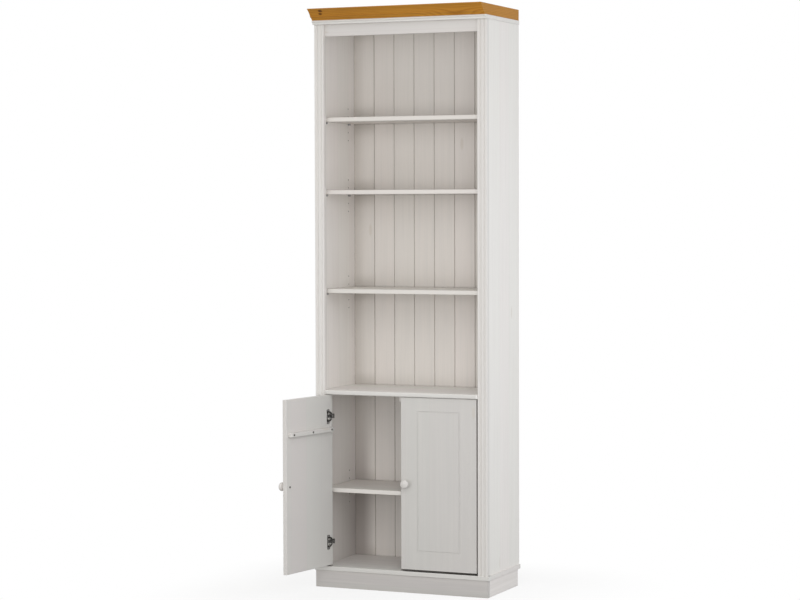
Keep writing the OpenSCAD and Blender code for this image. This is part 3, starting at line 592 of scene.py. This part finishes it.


# The hollow tone lies where a cup or an arm is closed in within the hollow reach: lighter steel inside a cup,
# and painted shade in an arm's crevices
metalLooks = {
    "brownedSteel": {"tone": (0.055, 0.050, 0.046), "worn": (0.22, 0.20, 0.18), "rough": (0.28, 0.46)},
    "zincSteel": {"tone": (0.55, 0.55, 0.56), "worn": (0.72, 0.72, 0.72), "rough": (0.26, 0.44)},
    "screwSteel": {"tone": (0.16, 0.15, 0.14), "worn": (0.34, 0.33, 0.32), "rough": (0.30, 0.48)},
    "cupSteel": {"tone": (0.060, 0.054, 0.050), "worn": (0.12, 0.11, 0.10), "rough": (0.28, 0.46),
                 "hollow": (0.78, 0.77, 0.75), "hollowReach": 0.020},
    "armSteel": {"tone": (0.24, 0.235, 0.23), "worn": (0.62, 0.61, 0.60), "rough": (0.24, 0.42),
                 "hollow": (0.03, 0.03, 0.03), "hollowReach": 0.006},
}
brushLook = {
    "hollowReach": 0.003,
    "wearWidth": 0.0005,
    "breakUp": 0.35,
    "cloudSize": 60.0,
    "cloudRange": (0.35, 0.65),
    "cloudShare": 0.72,
    "stretch": (1.0, 1.0, 14.0),
    "scratchScale": 420.0,
    "scratchRange": (0.3, 0.7),
    "speckRough": 0.08,
    "bump": 0.12,
    "bumpDepth": 0.0002,
}


def brushedMetal(name):
    look = {**brushLook, **metalLooks[name]}
    material, tree, shader = newMaterial(name)
    wear = useGroup(tree, edgeWear, width=look["wearWidth"], breakUp=look["breakUp"])
    hand = useGroup(tree, handlingAndShade, cloudSize=look["cloudSize"], cornerReach=look["hollowReach"])
    brushed = stretched(tree, pieceSpace(tree)["Object"], look["stretch"])
    scratch = addNode(tree, "ShaderNodeTexNoise", Vector=brushed, Scale=look["scratchScale"],
                      Detail=4.0, Roughness=0.7).outputs["Fac"]
    layers = [
        (remap(tree, hand["Cloud"], *look["cloudRange"]), tinted(look["tone"], look["cloudShare"])),
        (wear["Edge"], look["worn"]),
    ]
    if "hollow" in look:
        # on an arm, painted shade in its crevices; in a cup, lighter steel inside
        layers.append((hand["Corner"], look["hollow"]))
    rough = remap(tree, scratch, *look["scratchRange"], *look["rough"])
    rough = mathNode(tree, "ADD", rough, times(tree, hand["Speck"], look["speckRough"]))
    bump = addNode(tree, "ShaderNodeBump", Strength=look["bump"], Distance=look["bumpDepth"], Height=scratch,
                   Normal=wear["Normal"])
    feed(tree, shader.inputs["Base Color"], layOver(tree, look["tone"], layers))
    feed(tree, shader.inputs["Roughness"], rough)
    feed(tree, shader.inputs["Normal"], bump.outputs[0])
    shader.inputs["Metallic"].default_value = 1.0
    return material


# What each piece has of its own: how its boards lie, how much lighter or darker it is drawn as painted light
# and shade, and where painted shade sits
pieceLooks = {
    "plinth_front": {"plan": "across", "share": 0.665, "cornerStrength": 0.45},
    "plinth_back": {"plan": "across"},
    "plinth_left": {"plan": "deep", "share": 1.07},
    "plinth_right": {"plan": "deep", "share": 1.07},
    "base_board": {"plan": "acrossFlat", "frontFaceShade": 0.88, "underDoor": True},
    "side_left": {"plan": "upSide", "share": 1.12, "cornerStrength": 0.0, "streakStrength": 0.18,
                  "dusk": "side", "drilled": True},
    "side_right": {"plan": "upSide", "share": 1.07, "cornerStrength": 0.0, "streakStrength": 0.18,
                   "drilled": True},
    "stile_left": {"cornerStrength": 0.5, "cornerReach": 0.007},
    "stile_right": {"share": 0.92, "cornerStrength": 0.6, "cornerReach": 0.007},
    "top_board": {"plan": "acrossFlat"},
    "top_rail": {"plan": "across", "share": 0.90, "cornerStrength": 0.5},
    "crown_moulding": {"plan": "across", "darkKnots": crownKnots},
    "crown_front": {"plan": "across"},
    "crown_back": {"plan": "across"},
    "crown_left": {"plan": "deep"},
    "crown_right": {"plan": "deep"},
    "fixed_shelf": {"plan": "acrossFlat", "share": 1.09, "frontFaceShade": 0.83},
    "upper_shelf": {"plan": "acrossFlat", "share": 0.97},
    "middle_shelf": {"plan": "acrossFlat", "share": 0.97},
    "lower_shelf": {"plan": "acrossFlat", "share": 0.97},
    "cupboard_shelf": {"plan": "acrossFlat"},
    "door_stop": {"plan": "across"},
    "left_door_panel": {"plan": "upSide", "share": 0.85, "cornerStrength": 0.03, "streakStrength": 0.20},
    "right_door_panel": {"share": 0.745, "cornerStrength": 0.03, "streakStrength": 0.20, "paintedFootShadow": True},
    "left_door_batten": {"plan": "deep", "share": 0.87},
    "right_door_batten": {"plan": "across", "share": 0.765},
    "left_door_knob": {"plan": "deep", "share": 0.92},
    "right_door_knob": {"plan": "deep", "share": 0.84},
}
backBoard = {"share": 0.96, "stave": 0.5, "cornerReach": 0.007, "cornerStrength": 0.80, "gapStrength": 0.85,
             "streakStrength": 0.5, "deepShadeStrength": 0.15, "dusk": "backs"}
pieceLooks.update({name: backBoard for name in nodes if name.startswith("back_board")})
# the first back board has the strongest painted shade, in the left rear corner of the bays
pieceLooks["back_board_1"] = {**backBoard, "deepShadeStrength": 0.62}
# Shelves and back boards are glazed a little warmer, and a knob is turned from one stave
slotLooks = {
    "white_shelf": {"paint": (0.785, 0.755, 0.725)},
    "white_knob": {"stave": 0.5},
    "raw_wood": rawLook,
}

# Metal goes by how a name ends, or else by its slot
metalOfEnding = {"hinge_cups": "cupSteel", "hinge_arms": "armSteel", "batten_screws": "screwSteel",
                 "knob_screw": "screwSteel"}
metalOfSlot = {"dark_steel": "brownedSteel", "bright_steel": "zincSteel"}


def dressNodes():
    metals = {name: brushedMetal(name) for name in metalLooks}
    for seed, name in enumerate(sorted(nodes)):
        slot = slotOf[name]
        own = {**slotLooks.get(slot, {}), **pieceLooks.get(name, {})}
        if slot in metalOfSlot:
            kinds = [kind for ending, kind in metalOfEnding.items() if name.endswith(ending)]
            material = metals[kinds[0] if kinds else metalOfSlot[slot]]
        elif slot == "honey_pine":
            material = honeyPine("pine_" + name, {**pineLook, **own}, seed)
        elif slot == "raw_wood":
            material = honeyPine("raw_" + name, {**pineLook, **own}, seed)
        else:
            material = glazedPine(name, {**glazeLook, **own}, seed)
        piece = nodes[name]
        piece.data.materials.clear()
        piece.data.materials.append(material)


dressNodes()
print("materials made")


# Stage

stage = {
    "floorSize": 14.0,
    "floorColor": (0.93, 0.93, 0.93),
    "floorBounce": (0.42, 0.42, 0.42),
    "floorRough": 0.9,
    "floorSpecular": 0.1,
    "nearWhite": 0.77,  # share of white on the floor at the bookcase, so that its shadow shows
    "whiteFrom": 0.10,
    "whiteBy": 0.60,
    "worldStrength": 0.72,
    "worldColor": (1.0, 0.995, 0.985),
}


def seenRay(tree):
    # The camera sees the backdrop, straight, in a reflection or through a clear piece
    path = addNode(tree, "ShaderNodeLightPath").outputs
    mirrored = mathNode(tree, "ADD", path["Is Glossy Ray"], path["Is Transmission Ray"])
    return mathNode(tree, "ADD", path["Is Camera Ray"], mirrored, clamp=True)


def whiteToCamera(tree, kind, seen, share):
    # The backdrop is white where it is seen, and lights the bookcase less
    white = addNode(tree, kind, Color=(1.0, 1.0, 1.0), Strength=1.0)
    mix = addNode(tree, "ShaderNodeMixShader")
    for socket, value in zip(mix.inputs, (times(tree, seenRay(tree), share), seen, white.outputs[0])):
        tree.links.new(value, socket)
    return mix.outputs[0]


def whiteShare(tree):
    # Rises to 1 away from the bookcase, so that only its own shadow shows on the floor
    place = splitVector(tree, pieceSpace(tree)["Object"])
    middle = (cadBox[0][1] + cadBox[1][1]) / 2
    squares = 0.0
    for axis, centre, half in (("X", 0.0, cadBox[1][0]), ("Y", middle, cadBox[1][1] - middle)):
        off = mathNode(tree, "ABSOLUTE", mathNode(tree, "SUBTRACT", place[axis], centre))
        off = mathNode(tree, "MAXIMUM", mathNode(tree, "SUBTRACT", off, half), 0.0)
        squares = mathNode(tree, "ADD", times(tree, off, off), squares)
    return remap(tree, mathNode(tree, "SQRT", squares), stage["whiteFrom"], stage["whiteBy"],
                 stage["nearWhite"], 1.0, smooth=True)


def makeFloor():
    size = stage["floorSize"]
    mesh = bpy.data.meshes.new("floor")
    corners = [(-size, -size, 0), (size, -size, 0), (size, size, 0), (-size, size, 0)]
    mesh.from_pydata(corners, [], [(0, 1, 2, 3)])
    floor = bpy.data.objects.new("floor", mesh)
    bpy.context.scene.collection.objects.link(floor)
    material, tree, shader = newMaterial("floorPaint")
    straight = addNode(tree, "ShaderNodeLightPath").outputs["Is Camera Ray"]
    color = mixColor(tree, straight, stage["floorBounce"], stage["floorColor"])
    feed(tree, shader.inputs["Base Color"], color)
    shader.inputs["Roughness"].default_value = stage["floorRough"]
    shader.inputs["Specular IOR Level"].default_value = stage["floorSpecular"]
    surface = shader.outputs[0].links[0].to_socket
    tree.links.new(whiteToCamera(tree, "ShaderNodeEmission", shader.outputs[0], whiteShare(tree)), surface)
    mesh.materials.append(material)


def makeWorld():
    world = bpy.data.worlds.new("studio")
    bpy.context.scene.world = world
    world.use_nodes = True
    tree = world.node_tree
    tree.nodes.clear()
    light = addNode(tree, "ShaderNodeBackground", Color=stage["worldColor"], Strength=stage["worldStrength"])
    output = tree.nodes.new("ShaderNodeOutputWorld")
    tree.links.new(whiteToCamera(tree, "ShaderNodeBackground", light.outputs[0], 1.0), output.inputs[0])


# aim is a share of the height; turn goes round from straight in front, positive to the right
lamps = {
    "upper": {"aim": 0.75, "turn": 24.0, "rise": 5.0, "away": 2.2, "size": 1.2,
              "power": 10.9, "color": (1.0, 1.0, 1.0)},
    "left": {"aim": 0.3, "turn": -15.0, "rise": -3.0, "away": 2.2, "size": 0.6,
             "power": 4.6, "color": (1.0, 1.0, 1.0)},
    "front": {"aim": 0.5, "turn": 24.0, "rise": 0.0, "away": 6.0, "size": 2.0,
              "power": 55.0, "color": (1.0, 0.975, 0.96)},
    "side": {"aim": 0.55, "turn": 85.0, "rise": 3.0, "away": 2.2, "size": 1.2,
             "power": 11.1, "color": (0.90, 0.94, 1.0)},
}


def makeLamps():
    for name, values in lamps.items():
        aim = Vector((0, 0, bookcaseHeight * values["aim"]))
        turn = math.radians(values["turn"])
        rise = math.radians(values["rise"])
        ray = Vector((math.sin(turn) * math.cos(rise), -math.cos(turn) * math.cos(rise), math.sin(rise)))
        data = bpy.data.lights.new(name, "AREA")
        data.size = values["size"]
        data.energy = values["power"]
        data.color = values["color"]
        lamp = bpy.data.objects.new(name, data)
        lamp.location = aim + ray * values["away"]
        lamp.rotation_euler = ray.to_track_quat("Z", "Y").to_euler()
        bpy.context.scene.collection.objects.link(lamp)


# The place is in heights of the bookcase, from the middle of its front at the floor
cameraView = {
    "right": 1.57857,
    "front": 3.59628,
    "up": 0.66094,
    "turn": 23.694,
    "tilt": -2.325,
    "roll": -0.169,
    "lens": 103.68,
    "sensor": 36.0,
    "farEnd": 100.0,
}


def makeCamera():
    view = cameraView
    data = bpy.data.cameras.new("camera")
    data.lens = view["lens"]
    data.sensor_width = view["sensor"]
    data.clip_end = view["farEnd"]
    camera = bpy.data.objects.new("camera", data)
    turn = Euler((0, 0, math.radians(view["turn"]))).to_matrix()
    tilt = Euler((math.radians(90 + view["tilt"]), 0, 0)).to_matrix()
    roll = Euler((0, 0, math.radians(view["roll"]))).to_matrix()
    place = Vector((view["right"], -view["front"], view["up"])) * bookcaseHeight
    place.y += frontFace
    camera.matrix_world = Matrix.Translation(place) @ (turn @ tilt @ roll).to_4x4()
    bpy.context.scene.collection.objects.link(camera)
    bpy.context.scene.camera = camera


makeFloor()
makeWorld()
makeLamps()
makeCamera()
bpy.context.scene.view_settings.view_transform = "Standard"
print("stage, lamps and camera made")
